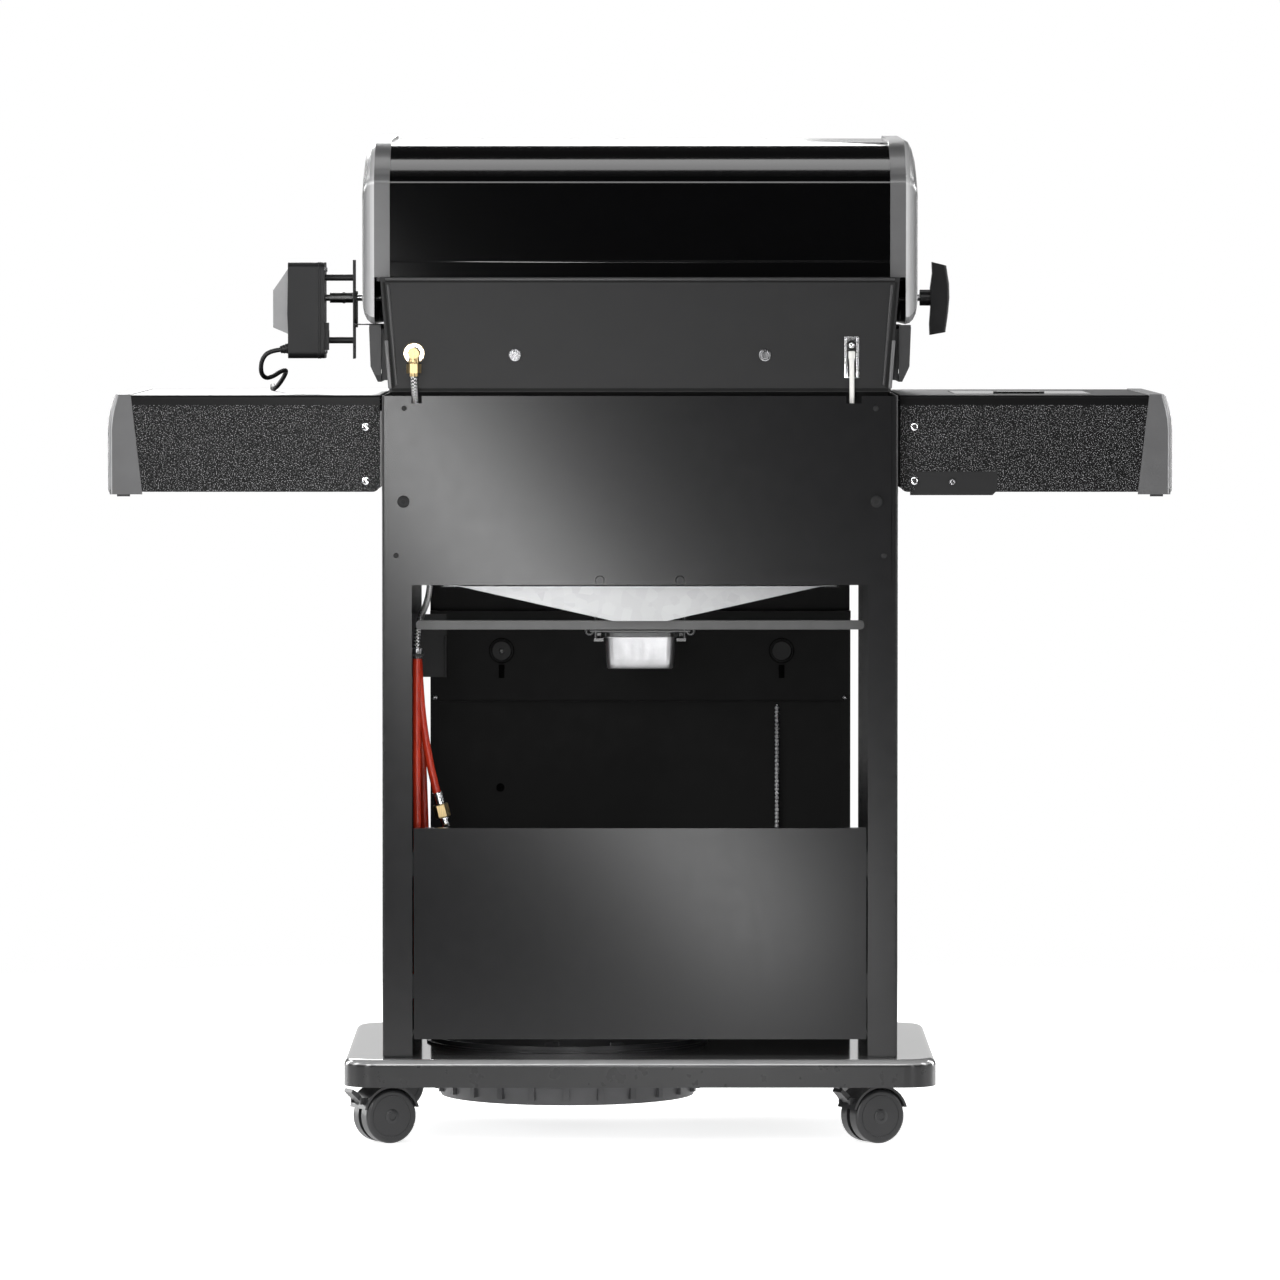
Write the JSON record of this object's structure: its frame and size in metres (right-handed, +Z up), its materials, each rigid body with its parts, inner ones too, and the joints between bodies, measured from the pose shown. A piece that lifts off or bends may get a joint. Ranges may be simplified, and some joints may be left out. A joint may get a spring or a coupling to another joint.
{
  "type": "gas barbecue grill",
  "caption": "Freestanding gas grill cart with domed lid, rear-mounted rotisserie burner, spit motor, folding side shelves, open-backed cabinet, drip tray and swivel casters.",
  "frame": {"origin": "on the floor under the middle of the grill's width and depth", "axes": "+Z up, the user stands at -Y facing the front, +X to the user's right"},
  "size_m": [1.305, 0.62, 1.2411],
  "materials": {
    "black_enamel": "gloss enamel",
    "cast_grey": "satin paint on cast aluminium",
    "charcoal_paint": "satin powder coat",
    "base_grey": "gloss paint",
    "black_paint": "semi-gloss paint",
    "hammertone": "black hammertone",
    "stainless": "brushed",
    "galvanised": "bright galvanised sheet",
    "handle_grey": "satin paint",
    "bright_wire": "plated wire",
    "foil": "pressed foil",
    "cast_iron": "matt enamel",
    "brass": "turned",
    "braid": "braided",
    "red_rubber": "smooth",
    "black_rubber": "smooth",
    "black_plastic": "fine texture",
    "wheel": "moulded"
  },
  "bodies": {
    "grill": {"base_shelf": "base_grey", "tank_well": "black_plastic", "side_panels": "charcoal_paint", "rear_heat_shield": "charcoal_paint", "rear_lower_panel": "charcoal_paint", "front_frame": "black_paint", "firebox": "black_paint", "firebox_cheeks": "cast_grey", "control_panel": "black_paint", "gas_manifold": "stainless", "main_burners": "stainless", "sear_plates": "stainless", "cooking_grids": "cast_iron", "rear_burner": "stainless", "rear_gas_line": "braid", "rear_electrode": "stainless", "hose_bracket": "black_paint", "panel_screws": "bright_wire", "gas_hose": "red_rubber", "gas_hose_fitting": "brass", "match_chain": "bright_wire", "rotisserie_bracket": "black_paint", "rotisserie_motor": "black_plastic", "motor_cord": "black_rubber", "motor_cord_coil": "black_rubber", "mains_plug": "black_plastic"},
    "lid": {"lid_shell": "black_enamel", "lid_end_caps": "cast_grey", "lid_handle": "stainless", "thermometer": "stainless"},
    "spit": {"spit_rod": "stainless", "spit_forks": "stainless", "spit_handle": "black_plastic"},
    "drip_tray": {"drip_pan": "galvanised", "drip_tray_handle": "handle_grey", "cup_hanger": "bright_wire"},
    "cup": {"foil_cup": "foil"},
    "cabinet_door": {"door": "charcoal_paint", "door_handle": "stainless"},
    "right_shelf": {"shelf_right": "hammertone", "shelf_cap_right": "cast_grey"},
    "left_shelf": {"shelf_left": "hammertone", "shelf_cap_left": "cast_grey", "side_burner": "hammertone"},
    "burner_lid": {"side_burner_lid": "hammertone"},
    "burner_knob": {"side_burner_knob": "black_plastic"},
    "main_knob_1": {"knob_1": "black_plastic"},
    "main_knob_2": {"knob_2": "black_plastic"},
    "main_knob_3": {"knob_3": "black_plastic"},
    "main_knob_4": {"knob_4": "black_plastic"},
    "swivel_rear_right": {"caster_rear_right": "black_plastic"},
    "roll_rear_right": {"wheels_rear_right": "wheel"},
    "swivel_rear_left": {"caster_rear_left": "black_plastic"},
    "roll_rear_left": {"wheels_rear_left": "wheel"},
    "swivel_front_right": {"caster_front_right": "black_plastic"},
    "roll_front_right": {"wheels_front_right": "wheel"},
    "swivel_front_left": {"caster_front_left": "black_plastic"},
    "roll_front_left": {"wheels_front_left": "wheel"},
    "pedal_right": {"brake_right": "black_plastic"},
    "pedal_left": {"brake_left": "black_plastic"}
  },
  "joints": [
    {"name": "lid_hinge", "type": "hinge", "parent": "grill", "child": "lid", "pos_m": [0, 0.235, 1.108], "axis": [-1, 0, 0], "range_deg": [0, 85]},
    {"name": "spit_turn", "type": "hinge", "parent": "grill", "child": "spit", "pos_m": [0, 0.05, 1.037], "axis": [1, 0, 0], "continuous": true},
    {"name": "drip_tray_slide", "type": "slide", "parent": "grill", "child": "drip_tray", "axis": [0, 1, 0], "range_m": [0, 0.36]},
    {"name": "foil_cup_slide", "type": "slide", "parent": "drip_tray", "child": "cup", "axis": [0, 1, 0], "range_m": [0, 0.14]},
    {"name": "door_hinge", "type": "hinge", "parent": "grill", "child": "cabinet_door", "pos_m": [-0.262, -0.197, 0.39], "axis": [0, 0, -1], "range_deg": [0, 110]},
    {"name": "right_shelf_fold", "type": "hinge", "parent": "grill", "child": "right_shelf", "pos_m": [0.336, 0.015, 0.8137], "axis": [0, 1, 0], "range_deg": [0, 90]},
    {"name": "left_shelf_fold", "type": "hinge", "parent": "grill", "child": "left_shelf", "pos_m": [-0.336, 0.015, 0.8137], "axis": [0, -1, 0], "range_deg": [0, 90]},
    {"name": "side_burner_lid_hinge", "type": "hinge", "parent": "left_shelf", "child": "burner_lid", "pos_m": [-0.4695, 0.126, 0.9199], "axis": [-1, 0, 0], "range_deg": [0, 92]},
    {"name": "side_burner_knob_turn", "type": "hinge", "parent": "left_shelf", "child": "burner_knob", "pos_m": [-0.475, -0.22, 0.862], "axis": [0, -1, 0], "range_deg": [0, 135]},
    {"name": "knob_1_turn", "type": "hinge", "parent": "grill", "child": "main_knob_1", "pos_m": [-0.21, -0.266, 0.85], "axis": [0, -1, 0], "range_deg": [0, 135]},
    {"name": "knob_2_turn", "type": "hinge", "parent": "grill", "child": "main_knob_2", "pos_m": [-0.07, -0.266, 0.85], "axis": [0, -1, 0], "range_deg": [0, 135]},
    {"name": "knob_3_turn", "type": "hinge", "parent": "grill", "child": "main_knob_3", "pos_m": [0.07, -0.266, 0.85], "axis": [0, -1, 0], "range_deg": [0, 135]},
    {"name": "knob_4_turn", "type": "hinge", "parent": "grill", "child": "main_knob_4", "pos_m": [0.21, -0.266, 0.85], "axis": [0, -1, 0], "range_deg": [0, 135]},
    {"name": "swivel_rear_right", "type": "hinge", "parent": "grill", "child": "swivel_rear_right", "pos_m": [0.3, 0.24, 0.09], "axis": [0, 0, 1], "continuous": true},
    {"name": "wheel_rear_right", "type": "hinge", "parent": "swivel_rear_right", "child": "roll_rear_right", "pos_m": [0.31426, 0.24726, 0.0335], "axis": [-0.454, 0.891, 0], "continuous": true},
    {"name": "swivel_rear_left", "type": "hinge", "parent": "grill", "child": "swivel_rear_left", "pos_m": [-0.3, 0.24, 0.09], "axis": [0, 0, 1], "continuous": true},
    {"name": "wheel_rear_left", "type": "hinge", "parent": "swivel_rear_left", "child": "roll_rear_left", "pos_m": [-0.28574, 0.24726, 0.0335], "axis": [-0.454, 0.891, 0], "continuous": true},
    {"name": "swivel_front_right", "type": "hinge", "parent": "grill", "child": "swivel_front_right", "pos_m": [0.3, -0.16, 0.09], "axis": [0, 0, 1], "continuous": true},
    {"name": "wheel_front_right", "type": "hinge", "parent": "swivel_front_right", "child": "roll_front_right", "pos_m": [0.31426, -0.15274, 0.0335], "axis": [-0.454, 0.891, 0], "continuous": true},
    {"name": "swivel_front_left", "type": "hinge", "parent": "grill", "child": "swivel_front_left", "pos_m": [-0.3, -0.16, 0.09], "axis": [0, 0, 1], "continuous": true},
    {"name": "wheel_front_left", "type": "hinge", "parent": "swivel_front_left", "child": "roll_front_left", "pos_m": [-0.28574, -0.15274, 0.0335], "axis": [-0.454, 0.891, 0], "continuous": true},
    {"name": "brake_right_pedal", "type": "hinge", "parent": "swivel_rear_right", "child": "pedal_right", "pos_m": [0.34678, 0.26383, 0.0535], "axis": [-0.454, 0.891, 0], "range_deg": [0, 18]},
    {"name": "brake_left_pedal", "type": "hinge", "parent": "swivel_rear_left", "child": "pedal_left", "pos_m": [-0.25322, 0.26383, 0.0535], "axis": [-0.454, 0.891, 0], "range_deg": [0, 18]}
  ]
}
